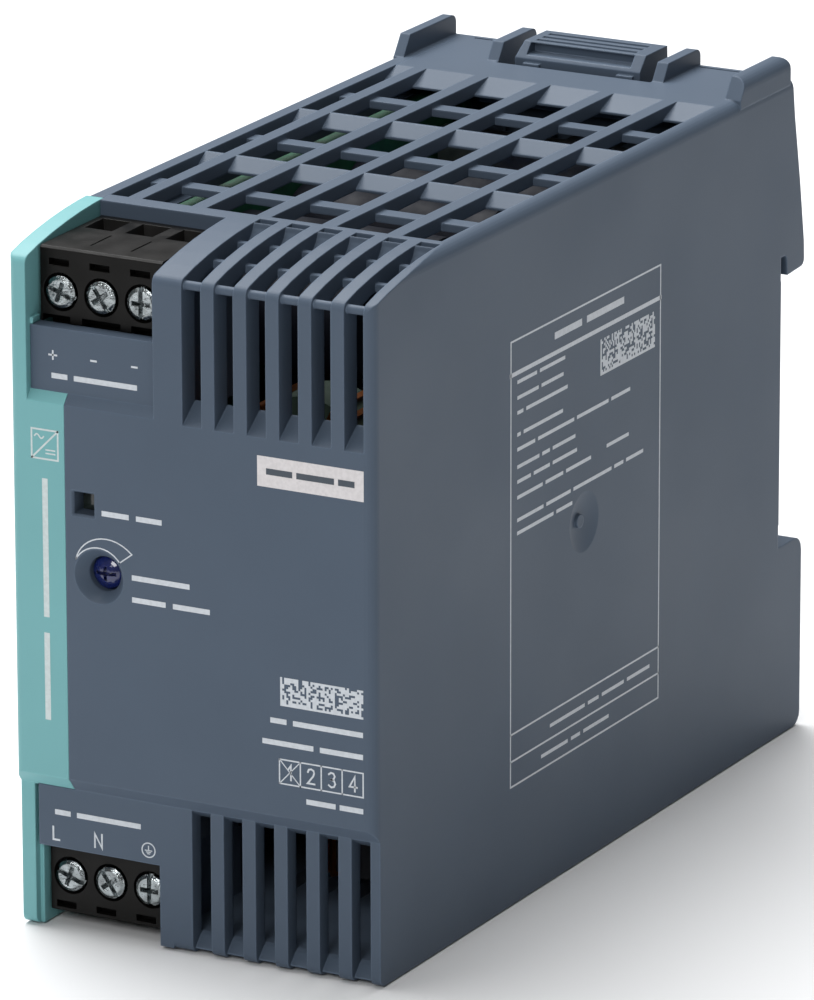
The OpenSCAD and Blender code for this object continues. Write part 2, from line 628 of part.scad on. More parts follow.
module output_capacitors() color("#3B3F57") in_part_frame()
    for (y = [27, 41, 55, 69]) can(parts_x + 0.2, y, 66.4, 6.3, 25);

module bulk_capacitor() color("#2E3036") in_part_frame() can(parts_x + 0.2, 33, 22, 9, 33);

tr_y = 54;
tr_z = 44;

// transformer: two E cores back to back around a bobbin whose axis runs along Y
module transformer_core() color("#33353A") in_part_frame() translate([parts_x + 4, tr_y - 14, tr_z - 15])
    difference() {
        cube([26, 28, 30]);
        for (z = [5, 19.5]) translate([-1, 5, z]) cube([28, 18, 5.5]);
    }

module transformer_bobbin() color("#1F1F22") in_part_frame() translate([parts_x + 0.3, tr_y - 8.8, tr_z - 9.9])
    for (y = [0, 16.6]) translate([0, y, 0]) difference() {
        cube([33, 1, 19.8]);
        translate([3.5, -1, 5.2]) cube([26.6, 3, 9.4]);
    }

module transformer_winding() color("#C9A23A") in_part_frame() translate([parts_x + 1.4, tr_y - 7.6, tr_z - 9.7])
    difference() {
        cube([31, 15.3, 19.4]);
        translate([2.4, -1, 5]) cube([26.4, 18, 9.4]);
    }

module at_line_choke() {
    translate([32, 27, 7.6]) children();
}

module line_choke_core() color("#33353A") in_part_frame() at_line_choke() toroid(4, 7, 6);
module line_choke_windings() color(copper) in_part_frame() at_line_choke()
    for (side = [0, 180]) toroid_winding(4, 7, 6, 0.5, side - 60, side + 60, 12);

module interference_capacitor() color("#D8B33A") in_part_frame()
    translate([parts_x + 0.2, 45, 6]) cube([18, 8, 15]);

module safety_capacitors() color("#3F6FB0") in_part_frame()
    for (z = [66, 24]) translate([parts_x + 8, 80, z]) rotate([90, 0, 0]) cylinder(r = 4.5, h = 3.4);

module fuse() color("#C8B68A") in_part_frame() can(parts_x + 0.2, 59, 9, 4.2, 8);

module varistor() color("#356A8F") in_part_frame() translate([parts_x + 7.5, 69, 11])
    rotate([90, 0, 0]) cylinder(r = 6.5, h = 4);

module inrush_thermistor() color("#4A4D45") in_part_frame() translate([parts_x + 7, 76.5, 11])
    rotate([90, 0, 0]) cylinder(r = 6, h = 4);

module bridge_rectifier() color("#202124") in_part_frame()
    translate([parts_x + 0.6, 56, 15]) cube([15, 3.6, 9.6]);

// flat aluminium heatsink with fins towards the rear
module heatsink(y, z0, h) {
    difference() {
        union() {
            translate([parts_x + 0.4, y, z0]) cube([30, 2, h]);
            for (k = [0:4]) translate([parts_x + 4 + 6 * k, y + 1.9, z0]) cube([1.2, 5, h]);
        }
        translate([parts_x + 15, y - 1, z0 + h - 8]) rotate([-90, 0, 0]) cylinder(r = 1.3, h = 9, $fn = 24);
    }
}

// TO-220 package in front of a heatsink: moulded body, metal tab and three leads
module power_package(y, z_hole) {
    translate([parts_x + 10, y - 4.4, z_hole - 13]) {
        cube([10, 4.4, 9.2]);
        translate([0, 3.1, 9.1]) difference() {
            cube([10, 1.3, 6.6]);
            translate([5, -1, 3.9]) rotate([-90, 0, 0]) cylinder(r = 1.6, h = 4, $fn = 24);
        }
        for (k = [-1:1]) translate([4.6 + 2.54 * k, 1.7, -3.4]) cube([0.8, 0.5, 3.5]);
    }
}

primary_z = 8;
primary_h = 26;
secondary_z = 42;
secondary_h = 30;
sink_y = 86;

module primary_heatsink() color(zinc) in_part_frame() heatsink(sink_y, primary_z, primary_h);
module secondary_heatsink() color(zinc) in_part_frame() heatsink(sink_y, secondary_z, secondary_h);
module switching_transistor() color("#202124") in_part_frame() power_package(sink_y, primary_z + primary_h - 8);
module output_rectifier() color("#202124") in_part_frame() power_package(sink_y, secondary_z + secondary_h - 8);

// two screws that hold the power packages on their heatsinks
module heatsink_screws() color(zinc) in_part_frame()
    for (z = [primary_z + primary_h - 8, secondary_z + secondary_h - 8])
        translate([parts_x + 15, sink_y - 3.4, z]) difference() {
            union() {
                rotate([-90, 0, 0]) cylinder(r = 2.5, h = 2.1, $fn = 24);
                translate([0, 2, 0]) rotate([-90, 0, 0]) cylinder(r = 1.28, h = 4, $fn = 24);
            }
            translate([-3, -1, -0.3]) cube([6, 1.8, 0.6]);
        }

module optocoupler() color("#202124") in_part_frame() translate([parts_x + 0.3, 76, 40]) cube([3.4, 6.4, 4.6]);
module control_chip() color("#202124") in_part_frame() translate([parts_x + 0.1, 72, 50]) cube([1.6, 5, 4]);

main_housing();
left_cover();
front_strip();
dc_terminal_block();
dc_contacts();
dc_screw(0);  // dc_screw_1
dc_screw(1);  // dc_screw_2
dc_screw(2);  // dc_screw_3
dc_clamp(0);  // dc_clamp_1
dc_clamp(1);  // dc_clamp_2
dc_clamp(2);  // dc_clamp_3
ac_terminal_block();
ac_contacts();
ac_screw(0);  // ac_screw_1
ac_screw(1);  // ac_screw_2
ac_screw(2);  // ac_screw_3
ac_clamp(0);  // ac_clamp_1
ac_clamp(1);  // ac_clamp_2
ac_clamp(2);  // ac_clamp_3
mounting_slide();
rail_catch();
catch_spring();
circuit_board();
insulating_sheet();
status_led();
light_pipe();
trimmer_body();
trimmer_rotor();
output_choke_core();
output_choke_windings();
output_capacitors();
bulk_capacitor();
transformer_core();
transformer_bobbin();
transformer_winding();
line_choke_core();
line_choke_windings();
interference_capacitor();
safety_capacitors();
fuse();
varistor();
inrush_thermistor();
bridge_rectifier();
switching_transistor();
primary_heatsink();
output_rectifier();
secondary_heatsink();
heatsink_screws();
optocoupler();
control_chip();
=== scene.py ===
"""Looks of a slim DIN rail power supply, laid over its packed model.

Each operator finishes one group of pieces: it gives the packed parts their moulded, plated or printed
finish and adds the small pieces that only the eye needs. All sizes are in metres unless a name says mm.
"""

import math
import random

import bmesh
import bpy
from bpy.props import FloatProperty, FloatVectorProperty, IntProperty, PointerProperty
from mathutils import Matrix, Vector


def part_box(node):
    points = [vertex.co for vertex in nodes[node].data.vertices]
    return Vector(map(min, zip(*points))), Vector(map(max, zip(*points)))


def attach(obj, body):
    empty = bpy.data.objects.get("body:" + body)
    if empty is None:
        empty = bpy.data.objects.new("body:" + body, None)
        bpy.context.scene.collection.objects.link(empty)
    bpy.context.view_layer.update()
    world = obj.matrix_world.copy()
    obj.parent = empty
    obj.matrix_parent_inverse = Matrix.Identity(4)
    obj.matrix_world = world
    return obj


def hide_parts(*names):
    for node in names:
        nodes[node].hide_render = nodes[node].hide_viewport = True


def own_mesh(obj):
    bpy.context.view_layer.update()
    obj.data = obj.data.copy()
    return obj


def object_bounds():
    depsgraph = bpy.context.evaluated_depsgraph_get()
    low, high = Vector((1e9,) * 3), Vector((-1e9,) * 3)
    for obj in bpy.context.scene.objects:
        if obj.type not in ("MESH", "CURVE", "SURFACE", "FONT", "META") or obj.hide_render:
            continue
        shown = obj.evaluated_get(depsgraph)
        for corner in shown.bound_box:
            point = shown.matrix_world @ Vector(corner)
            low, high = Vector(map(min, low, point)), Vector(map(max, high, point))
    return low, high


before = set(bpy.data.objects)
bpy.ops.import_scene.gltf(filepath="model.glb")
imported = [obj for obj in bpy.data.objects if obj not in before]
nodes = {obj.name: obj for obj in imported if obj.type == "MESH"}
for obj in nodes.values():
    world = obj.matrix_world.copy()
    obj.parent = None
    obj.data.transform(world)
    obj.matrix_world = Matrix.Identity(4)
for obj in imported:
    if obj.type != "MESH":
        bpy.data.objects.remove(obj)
cad_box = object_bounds()

bl_info = {
    "name": "DIN Rail Power Supply",
    "version": (1, 0, 0),
    "blender": (4, 5, 0),
    "location": "View3D > Sidebar > Power Supply",
    "description": "Finishes the packed model of a slim DIN rail power supply",
    "category": "Object",
}

MM = 0.001
HOUSING = "housing"

# the casing's lower front left corner, from which every print is measured in mm
corner = Vector((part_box("left_cover")[0].x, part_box("main_housing")[0].y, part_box("main_housing")[0].z))
CASING_W = (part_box("main_housing")[1].x - corner.x) / MM


def srgb(code):
    """A colour code as linear RGBA."""
    parts = [int(code[i:i + 2], 16) / 255 for i in (1, 3, 5)]
    return tuple(c / 12.92 if c <= 0.04045 else ((c + 0.055) / 1.055) ** 2.4 for c in parts) + (1.0,)


# ---- settings ---------------------------------------------------------------------------------

def colour(name, description, code):
    return FloatVectorProperty(name=name, description=description, subtype="COLOR", size=3,
                               min=0, max=1, default=srgb(code)[:3])


def length(name, description, default):
    return FloatProperty(name=name, description=description, default=default, min=0,
                         subtype="DISTANCE", unit="LENGTH", precision=5)


def amount(name, description, default, lowest=0):
    return FloatProperty(name=name, description=description, default=default, min=lowest)


class SUPPLY_PG_stage(bpy.types.PropertyGroup):
    """Floor, light and camera"""
    floor_colour: colour("Floor", "Colour of the pale floor", "#E4E5E6")
    key_power: amount("Key light", "Power of the light over the top", 19.0)
    front_power: amount("Front light", "Power of the light at the front", 3.4)
    sky: amount("Surroundings", "Brightness of the white surroundings", 0.2)
    lens: amount("Lens", "Focal length of the camera in mm", 313.885, lowest=1)


class SUPPLY_PG_casing(bpy.types.PropertyGroup):
    """Moulded casing and its trim"""
    grey: colour("Casing", "Colour of the moulded casing", "#4C5867")
    teal: colour("Trim", "Colour of the trim on the front", "#70A6A9")
    grain: length("Grain", "Size of the spark-eroded grain", 0.00012)
    edge_radius: length("Edge radius", "Rounding that the mould leaves on an edge", 0.0003)


class SUPPLY_PG_terminals(bpy.types.PropertyGroup):
    """Terminal blocks and their metal"""
    black: colour("Block", "Colour of the terminal blocks", "#0E0D0C")
    zinc: colour("Zinc", "Colour of plated screws and clamps", "#979D9F")


class SUPPLY_PG_prints(bpy.types.PropertyGroup):
    """Prints on the casing"""
    ink: colour("Ink", "Colour of the printed marks", "#C3C8CE")
    plate: colour("Name plate", "Colour of the blank name plate", "#CFCBCC")
    trim_ink: colour("Ink on the trim", "Colour of the marks on the coloured trim", "#C2CCCC")
    thickness: length("Thickness", "Thickness of the ink", 0.000012)
    seed: IntProperty(name="Seed", description="Seed of the code fields' pattern", default=7, min=0)


class SUPPLY_PG_electronics(bpy.types.PropertyGroup):
    """Parts inside the casing"""
    board: colour("Board", "Colour of the board's solder mask", "#175238")
    copper: colour("Copper", "Colour of the enamelled copper wire", "#B86A2E")


GROUPS = (SUPPLY_PG_stage, SUPPLY_PG_casing, SUPPLY_PG_terminals, SUPPLY_PG_prints, SUPPLY_PG_electronics)


# ---- materials --------------------------------------------------------------------------------

# cosine between the rounded and the flat normal: where the painted edge highlight is at its lightest, and where it
# ends
FULL_HIGHLIGHT, NO_HIGHLIGHT = 0.86, 0.995


class Finish:
    """A node material that is built up step by step: colour, roughness and relief."""

    def __init__(self, name, base, roughness, **shader):
        self.material = bpy.data.materials.new(name)
        self.material.use_nodes = True
        self.tree = self.material.node_tree
        self.shader = self.tree.nodes["Principled BSDF"]
        self.shader.inputs["Base Color"].default_value = tuple(base)[:3] + (1,)
        self.shader.inputs["Roughness"].default_value = roughness
        for socket, value in shader.items():
            self.shader.inputs[socket.replace("_", " ")].default_value = value
        self.coordinates = self.add("ShaderNodeTexCoord").outputs["Object"]
        self.normal = None

    def add(self, kind, **settings):
        node = self.tree.nodes.new(kind)
        for key, value in settings.items():
            setattr(node, key, value)
        return node

    def link(self, source, target):
        self.tree.links.new(source, target)

    def noise(self, size, detail=2.0, roughness=0.5, stretch=(1, 1, 1)):
        """Noise whose features are about that size in metres, stretched along an axis if asked."""
        mapping = self.add("ShaderNodeMapping")
        mapping.inputs["Scale"].default_value = [1 / (size * s) for s in stretch]
        self.link(self.coordinates, mapping.inputs["Vector"])
        noise = self.add("ShaderNodeTexNoise")
        noise.inputs["Scale"].default_value = 1.0
        noise.inputs["Detail"].default_value = detail
        noise.inputs["Roughness"].default_value = roughness
        self.link(mapping.outputs["Vector"], noise.inputs["Vector"])
        return noise.outputs["Fac"]

    def ramp(self, source, low, high, start=0.35, end=0.65):
        """Remaps a factor to the range low to high, or between two colours."""
        if isinstance(low, (int, float)):
            node = self.add("ShaderNodeMapRange")
            for socket, value in (("From Min", start), ("From Max", end), ("To Min", low), ("To Max", high)):
                node.inputs[socket].default_value = value
            self.link(source, node.inputs["Value"])
            return node.outputs["Result"]
        node = self.add("ShaderNodeValToRGB")
        node.color_ramp.elements[0].position = start
        node.color_ramp.elements[1].position = end
        node.color_ramp.elements[0].color = tuple(low)[:3] + (1,)
        node.color_ramp.elements[1].color = tuple(high)[:3] + (1,)
        self.link(source, node.inputs["Fac"])
        return node.outputs["Color"]

    def tint(self, source, spread, start=0.35, end=0.65):
        """Varies the base colour by that share, darker and lighter."""
        base = tuple(self.shader.inputs["Base Color"].default_value)[:3]
        low = [c * (1 - spread) for c in base]
        high = [min(1, c * (1 + spread)) for c in base]
        self.link(self.ramp(source, low, high, start, end), self.shader.inputs["Base Color"])
        return self

    def sheen_patches(self, source, spread):
        """Varies the roughness by that much either way."""
        value = self.shader.inputs["Roughness"].default_value
        self.link(self.ramp(source, value - spread, value + spread), self.shader.inputs["Roughness"])
        return self

    def rounded(self, radius, samples=6):
        """Rounds edges in the shading, as the mould does."""
        bevel = self.add("ShaderNodeBevel", samples=samples)
        bevel.inputs["Radius"].default_value = radius
        self.normal = bevel.outputs["Normal"]
        self.link(self.normal, self.shader.inputs["Normal"])
        return self

    def painted_edge_highlights(self, gain):
        """Paints a highlight into the colour along rounded edges: lightens it by that factor there, as light that
        the edges catch.
        """
        flat = self.add("ShaderNodeNewGeometry").outputs["Normal"]
        turn = self.add("ShaderNodeVectorMath", operation="DOT_PRODUCT")
        self.link(self.normal, turn.inputs[0])
        self.link(flat, turn.inputs[1])
        # painted highlight: the colour is lightened where the rounded normal turns away from the flat one
        edge_highlight = self.ramp(turn.outputs["Value"], gain, 1.0, FULL_HIGHLIGHT, NO_HIGHLIGHT)
        scale = self.add("ShaderNodeVectorMath", operation="SCALE")
        self.link(self.shader.inputs["Base Color"].links[0].from_socket, scale.inputs[0])
        self.link(edge_highlight, scale.inputs["Scale"])
        self.link(scale.outputs["Vector"], self.shader.inputs["Base Color"])
        return self

    def relief(self, source, depth, strength=1.0):
        """Adds a fine relief of that depth in metres."""
        bump = self.add("ShaderNodeBump")
        bump.inputs["Strength"].default_value = strength
        bump.inputs["Distance"].default_value = depth
        self.link(source, bump.inputs["Height"])
        if self.normal is not None:
            self.link(self.normal, bump.inputs["Normal"])
        self.normal = bump.outputs["Normal"]
        self.link(self.normal, self.shader.inputs["Normal"])
        return self

    def on(self, *names):
        """Gives this finish to those packed parts."""
        for name in names:
            slots = nodes[name].data.materials
            slots.clear()
            slots.append(self.material)
        return self


def smooth(*names, angle=30):
    """Shades curved faces of the packed parts smooth and keeps their creases."""
    for name in names:
        mesh = nodes[name].data
        mesh.shade_smooth()
        mesh.set_sharp_from_angle(angle=math.radians(angle))


# ---- printed and added pieces -----------------------------------------------------------------

def place(x, y, z):
    """A point measured in mm from the casing's corner: to the right, to the back and up."""
    return corner + Vector((x, y, z)) * MM


def on_front(depth):
    """Maps a print's own X and Y to a panel of the front that lies that many mm behind the front face."""
    return lambda u, v, out: place(u, depth - out / MM, v)


def on_right(u, v, out):
    """Maps a print's own X and Y to the right side, where X runs to the back."""
    return place(CASING_W + out / MM, u, v)


class Ink:
    """Flat shapes in mm that are laid on a panel as a thin coat of ink."""

    def __init__(self):
        self.outlines = []

    def bar(self, x0, z0, x1, z1):
        self.outlines.append([(x0, z0), (x1, z0), (x1, z1), (x0, z1)])

    def line(self, points, width):
        """A stroke with mitred corners, as one quad per stretch."""
        half = width / 2
        closed = points[0] == points[-1] and len(points) > 2
        pts = [Vector(p) for p in (points[:-1] if closed else points)]
        count = len(pts)
        sides = []
        for i, p in enumerate(pts):
            before = pts[i - 1] if closed or i else None
            after = pts[(i + 1) % count] if closed or i < count - 1 else None
            a = (p - before).normalized() if before is not None else (after - p).normalized()
            b = (after - p).normalized() if after is not None else a
            normal = Vector((-(a + b).y, (a + b).x)).normalized()
            reach = half / max(0.35, normal.dot(Vector((-a.y, a.x))))
            if before is None:
                p = p - a * half
            if after is None:
                p = p + b * half
            sides.append((p + normal * reach, p - normal * reach))
        for i in range(count if closed else count - 1):
            j = (i + 1) % count
            self.outlines.append([sides[i][1], sides[j][1], sides[j][0], sides[i][0]])

    def rectangle(self, x0, z0, x1, z1, width):
        self.line([(x0, z0), (x1, z0), (x1, z1), (x0, z1), (x0, z0)], width)

    def words(self, x, z, widths, height, gap):
        """A line of plain bars in place of words."""
        for w in widths:
            self.bar(x, z, x + w, z + height)
            x += w + gap

    def lay(self, name, panel, material):
        thickness = bpy.context.scene.supply_prints.thickness
        mesh = bpy.data.meshes.new(name)
        bm = bmesh.new()
        for outline in self.outlines:
            low = [bm.verts.new(panel(p[0], p[1], -thickness)) for p in outline]
            high = [bm.verts.new(panel(p[0], p[1], thickness)) for p in outline]
            bm.faces.new(low)
            bm.faces.new(high)
            for i in range(len(outline)):
                j = (i + 1) % len(outline)
                bm.faces.new((low[i], low[j], high[j], high[i]))
        bmesh.ops.recalc_face_normals(bm, faces=bm.faces)
        bm.to_mesh(mesh)
        bm.free()
        return add_piece(name, mesh, material, HOUSING)


def add_piece(name, mesh, material, body):
    piece = bpy.data.objects.new(name, mesh)
    bpy.context.scene.collection.objects.link(piece)
    mesh.materials.append(material)
    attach(piece, body)
    return piece


def arc_points(x, z, radius, start, end, count):
    """Points on a circle between two angles in degrees."""
    turn = [math.radians(start + (end - start) * i / count) for i in range(count + 1)]
    return [(x + radius * math.cos(a), z + radius * math.sin(a)) for a in turn]


def code_field(ink, x0, z0, x1, z1, module, seed):
    """A field of small squares in a random pattern, with a solid left edge and foot."""
    rng = random.Random(seed)
    columns, rows = round((x1 - x0) / module), round((z1 - z0) / module)
    dx, dz = (x1 - x0) / columns, (z1 - z0) / rows
    for row in range(rows):
        start = None
        for column in range(columns + 1):
            solid = column < columns and (column % (columns // 3) == 0 or row == 0 or rng.random() < 0.55)
            if solid and start is None:
                start = column
            if not solid and start is not None:
                ink.bar(x0 + start * dx, z0 + row * dz, x0 + column * dx, z0 + (row + 1) * dz)
                start = None


# strokes of the plain digits in a box one unit high
DIGITS = {
    1: [[(0.15, 0.75), (0.35, 1), (0.35, 0)]],
    2: [[(0.02, 0.78), (0.1, 0.95), (0.3, 1), (0.5, 0.92), (0.55, 0.75), (0.48, 0.55), (0, 0), (0.58, 0)]],
    3: [[(0.03, 0.88), (0.2, 1), (0.42, 0.97), (0.53, 0.78), (0.42, 0.56), (0.22, 0.53)],
        [(0.22, 0.53), (0.46, 0.48), (0.57, 0.27), (0.45, 0.05), (0.22, 0), (0.02, 0.12)]],
    4: [[(0.45, 0), (0.45, 1), (0, 0.28), (0.62, 0.28)]],
}


# ---- operators --------------------------------------------------------------------------------

class SUPPLY_OT_stage(bpy.types.Operator):
    """Lay the pale floor, hang the soft lights and set up the camera"""
    bl_idname = "supply.stage"
    bl_label = "Stage"

    floor_reach = 3.0
    floor_gap = 0.0002
    key_at, key_size = (-0.32, 0.15, 0.9), 0.9
    front_at, front_size = (0.12, -0.9, 0.5), 0.35
    camera_at = (0.449037, -0.874274, 0.286673)
    # degrees: turned to the left, tipped down, rolled
    camera_turn = (28.561, 17.064, 0.1295)

    def execute(self, context):
        settings = context.scene.supply_stage
        self.floor(settings)
        self.light("key_light", settings.key_power, self.key_at, self.key_size)
        self.light("front_light", settings.front_power, self.front_at, self.front_size)
        self.camera(settings)
        world = bpy.data.worlds.new("studio")
        world.use_nodes = True
        world.node_tree.nodes["Background"].inputs["Color"].default_value = (1, 1, 1, 1)
        world.node_tree.nodes["Background"].inputs["Strength"].default_value = settings.sky
        context.scene.world = world
        context.scene.view_settings.view_transform = "Standard"
        return {"FINISHED"}

    def floor(self, settings):
        mesh = bpy.data.meshes.new("floor")
        square = [(x * self.floor_reach, y * self.floor_reach, 0) for x, y in ((-1, -1), (1, -1), (1, 1), (-1, 1))]
        mesh.from_pydata(square, [], [(0, 1, 2, 3)])
        floor = bpy.data.objects.new("floor", mesh)
        bpy.context.scene.collection.objects.link(floor)
        floor.location.z = cad_box[0].z - self.floor_gap
        finish = Finish("pale_floor", settings.floor_colour, 0.7)
        finish.tint(finish.noise(0.4), 0.01)
        # the floor lets the eye through from below
        through = finish.add("ShaderNodeBsdfTransparent")
        mix = finish.add("ShaderNodeMixShader")
        side = finish.add("ShaderNodeNewGeometry")
        output = finish.tree.nodes["Material Output"]
        finish.link(side.outputs["Backfacing"], mix.inputs[0])
        finish.link(finish.shader.outputs[0], mix.inputs[1])
        finish.link(through.outputs[0], mix.inputs[2])
        finish.link(mix.outputs[0], output.inputs["Surface"])
        mesh.materials.append(finish.material)

    def light(self, name, power, at, size):
        lamp = bpy.data.lights.new(name, "AREA")
        lamp.energy = power
        lamp.size = size
        lamp_object = bpy.data.objects.new(name, lamp)
        lamp_object.location = at
        lamp_object.rotation_euler = (-Vector(at)).to_track_quat("-Z", "Y").to_euler()
        bpy.context.scene.collection.objects.link(lamp_object)

    def camera(self, settings):
        data = bpy.data.cameras.new("camera")
        data.lens = settings.lens
        data.sensor_width = 36
        camera = bpy.data.objects.new("camera", data)
        bpy.context.scene.collection.objects.link(camera)
        yaw, pitch, roll = (math.radians(angle) for angle in self.camera_turn)
        level = math.cos(pitch)
        forward = Vector((-math.sin(yaw) * level, math.cos(yaw) * level, -math.sin(pitch)))
        right = Vector((math.cos(yaw), math.sin(yaw), 0))
        down = forward.cross(right)
        right, down = (math.cos(roll) * right + math.sin(roll) * down,
                       math.cos(roll) * down - math.sin(roll) * right)
        turn = Matrix((right, -down, -forward)).transposed()
        camera.matrix_world = Matrix.Translation(self.camera_at) @ turn.to_4x4()
        bpy.context.scene.camera = camera


class SUPPLY_OT_casing(bpy.types.Operator):
    """Finish the moulded casing, its cover, its trim and the two slides on the rail side"""
    bl_idname = "supply.casing"
    bl_label = "Casing and trim"

    def execute(self, context):
        settings = context.scene.supply_casing
        grey = Finish("casing_grey", settings.grey, 0.46, Specular_IOR_Level=0.18)
        # painted highlight: the casing's rounded edges are lightened in colour
        grey.tint(grey.noise(0.012, 3), 0.02).rounded(settings.edge_radius).painted_edge_highlights(1.55)
        grain = grey.noise(settings.grain, 2, 0.6)
        grey.sheen_patches(grey.noise(0.02), 0.03).relief(grain, 0.000012)
        grey.on("main_housing", "left_cover", "mounting_slide", "rail_catch")
        teal = Finish("trim_teal", settings.teal, 0.4, Specular_IOR_Level=0.25)
        # painted highlight: the trim's rounded edges are lightened in colour
        teal.tint(teal.noise(0.012, 3), 0.02).rounded(settings.edge_radius).painted_edge_highlights(1.25)
        teal.sheen_patches(teal.noise(0.02), 0.03).relief(teal.noise(settings.grain, 2, 0.6), 0.000008)
        teal.on("front_strip")
        smooth("main_housing", "left_cover", "mounting_slide", "rail_catch", "front_strip")
        return {"FINISHED"}


class SUPPLY_OT_terminals(bpy.types.Operator):
    """Finish the terminal blocks, their screws, clamps and contacts"""
    bl_idname = "supply.terminals"
    bl_label = "Terminals"

    def execute(self, context):
        settings = context.scene.supply_terminals
        black = Finish("block_black", settings.black, 0.36, Specular_IOR_Level=0.15)
        black.tint(black.noise(0.004, 3), 0.12).rounded(0.00012)
        black.sheen_patches(black.noise(0.003), 0.08).relief(black.noise(0.00025, 3), 0.00001)
        black.on("dc_terminal_block", "ac_terminal_block")
        zinc = Finish("zinc_steel", settings.zinc, 0.2, Metallic=1.0)
        zinc.tint(zinc.noise(0.0012, 3), 0.25).rounded(0.00012)
        zinc.sheen_patches(zinc.noise(0.0008), 0.08).relief(zinc.noise(0.0007, 3, 0.6), 0.00022)
        turned = [f"{side}_{kind}_{n}" for side in ("dc", "ac") for kind in ("screw", "clamp")
                  for n in (1, 2, 3)]
        zinc.on(*turned, "heatsink_screws")
        tin = Finish("tinned_contact", srgb("#B9B7AF"), 0.35, Metallic=1.0)
        tin.tint(tin.noise(0.002, 3), 0.08).relief(tin.noise(0.0003), 0.000006)
        tin.on("dc_contacts", "ac_contacts")
        smooth(*turned, "dc_terminal_block", "ac_terminal_block")
        return {"FINISHED"}


class SUPPLY_OT_catch_spring(bpy.types.Operator):
    """Wind the catch's spring with closed ends"""
    bl_idname = "supply.catch_spring"
    bl_label = "Catch spring"

    wire = 0.0002
    turns, steps_per_turn, sides = 8, 20, 8

    def execute(self, context):
        low, high = (Vector(end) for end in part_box("catch_spring"))
        tall = high.z - low.z
        finish = Finish("spring_steel", srgb("#8E9093"), 0.3, Metallic=1.0)
        finish.tint(finish.noise(0.001, 2), 0.12).relief(finish.noise(0.0002), 0.000004)
        middle = (low + high) / 2
        coil = self.coil(Vector((middle.x, middle.y, low.z)), (high.x - low.x) / 2 - self.wire, tall)
        piece = add_piece("catch_spring_coil", coil, finish.material, HOUSING)
        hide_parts("catch_spring")
        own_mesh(piece)
        return {"FINISHED"}

    def coil(self, foot, radius, tall):
        """A round wire wound upwards from a foot, whose first and last turns lie closed."""
        wire, around = self.wire, self.sides
        mesh = bpy.data.meshes.new("catch_spring_coil")
        bm = bmesh.new()
        open_pitch = (tall - 6 * wire) / (self.turns - 2)
        rings = []
        for i in range(self.turns * self.steps_per_turn + 1):
            turned = i / self.steps_per_turn
            rise = 2 * wire * (min(turned, 1) + max(0, turned - self.turns + 1))
            rise += open_pitch * min(max(turned - 1, 0), self.turns - 2)
            angle = math.tau * turned
            outward = Vector((math.cos(angle), math.sin(angle), 0))
            centre = foot + outward * radius + Vector((0, 0, wire + rise))
            rings.append([bm.verts.new(centre + wire * (outward * math.cos(a) + Vector((0, 0, math.sin(a)))))
                          for a in (math.tau * k / around for k in range(around))])
        for lower, upper in zip(rings, rings[1:]):
            for k in range(around):
                bm.faces.new((lower[k], lower[k - 1], upper[k - 1], upper[k])).smooth = True
        bm.faces.new(rings[0])
        bm.faces.new(rings[-1])
        bmesh.ops.recalc_face_normals(bm, faces=bm.faces)
        bm.to_mesh(mesh)
        bm.free()
        return mesh


class SUPPLY_OT_controls(bpy.types.Operator):
    """Finish the status window and the trimmer"""
    bl_idname = "supply.controls"
    bl_label = "Status window and trimmer"

    def execute(self, context):
        pipe = Finish("clear_plastic", srgb("#1D2422"), 0.12, Coat_Weight=0.3)
        pipe.tint(pipe.noise(0.001), 0.15).relief(pipe.noise(0.0008), 0.00001)
        pipe.on("light_pipe")
        led = Finish("led_epoxy", srgb("#A9B8A6"), 0.3)
        led.tint(led.noise(0.001), 0.08)
        led.on("status_led")
        rotor = Finish("trimmer_blue", srgb("#101B52"), 0.14, Coat_Weight=0.6)
        rotor.tint(rotor.noise(0.0006), 0.12).rounded(0.0001).relief(rotor.noise(0.0003), 0.000006)
        rotor.on("trimmer_rotor")
        case = Finish("trimmer_case", srgb("#24508C"), 0.3)
        case.tint(case.noise(0.002), 0.08).relief(case.noise(0.0003), 0.00001)
        case.on("trimmer_body")
        smooth("trimmer_rotor", "trimmer_body")
        return {"FINISHED"}


# strokes and bar heights in mm
HAIRLINE, THIN, LETTER, FRAME = 0.14, 0.16, 0.22, 0.22
BAR_HIGH, SMALL_BAR_HIGH = 0.6, 0.42
# how far behind the front face the marking plates of the upper and the lower terminals lie, in mm
UPPER_PLATE, LOWER_PLATE = 0.9, 1.2
TRIMMER = (10.95, 41.95)


